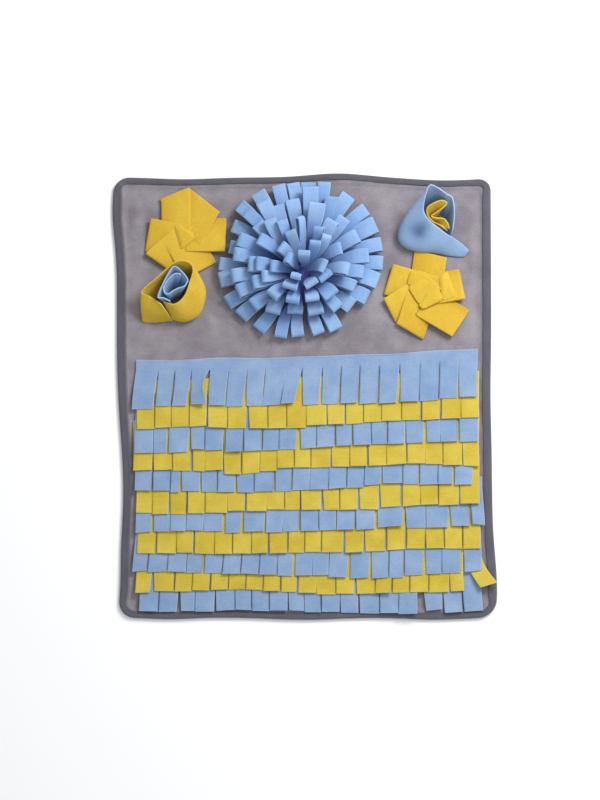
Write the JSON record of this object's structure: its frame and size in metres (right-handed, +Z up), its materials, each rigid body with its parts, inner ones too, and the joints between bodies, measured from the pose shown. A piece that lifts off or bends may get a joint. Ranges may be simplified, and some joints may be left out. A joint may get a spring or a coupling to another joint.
{
  "type": "snuffle mat",
  "caption": "Flat fleece foraging mat for a dog, bound with tape, with rows of cut fringe in two colours, a looped pompom, folded flowers and wrapped buds.",
  "frame": {"origin": "middle of the mat's underside, on the floor", "axes": "+Z up, +Y towards the end with the pompom, flowers and buds, +X to the right seen from above"},
  "size_m": [0.512, 0.608, 0.0833],
  "materials": {
    "grey_fleece": "matt brushed fleece",
    "tape": "matt woven tape",
    "blue_fleece": "matt brushed fleece",
    "yellow_fleece": "matt brushed fleece"
  },
  "bodies": {
    "root": {"mat_cloth": "grey_fleece", "binding": "tape", "fringe_row_01": "blue_fleece", "fringe_row_02": "yellow_fleece", "fringe_row_03": "blue_fleece", "fringe_row_04": "yellow_fleece", "fringe_row_05": "blue_fleece", "fringe_row_06": "yellow_fleece", "fringe_row_07": "blue_fleece", "fringe_row_08": "yellow_fleece", "fringe_row_09": "blue_fleece", "fringe_row_10": "yellow_fleece", "fringe_row_11": "blue_fleece", "pompom": "blue_fleece", "flower_left": "yellow_fleece", "flower_right": "yellow_fleece", "bud_left_wrap": "yellow_fleece", "bud_left_roll": "blue_fleece", "bud_right_wrap": "blue_fleece", "bud_right_roll": "yellow_fleece"}
  },
  "joints": []
}
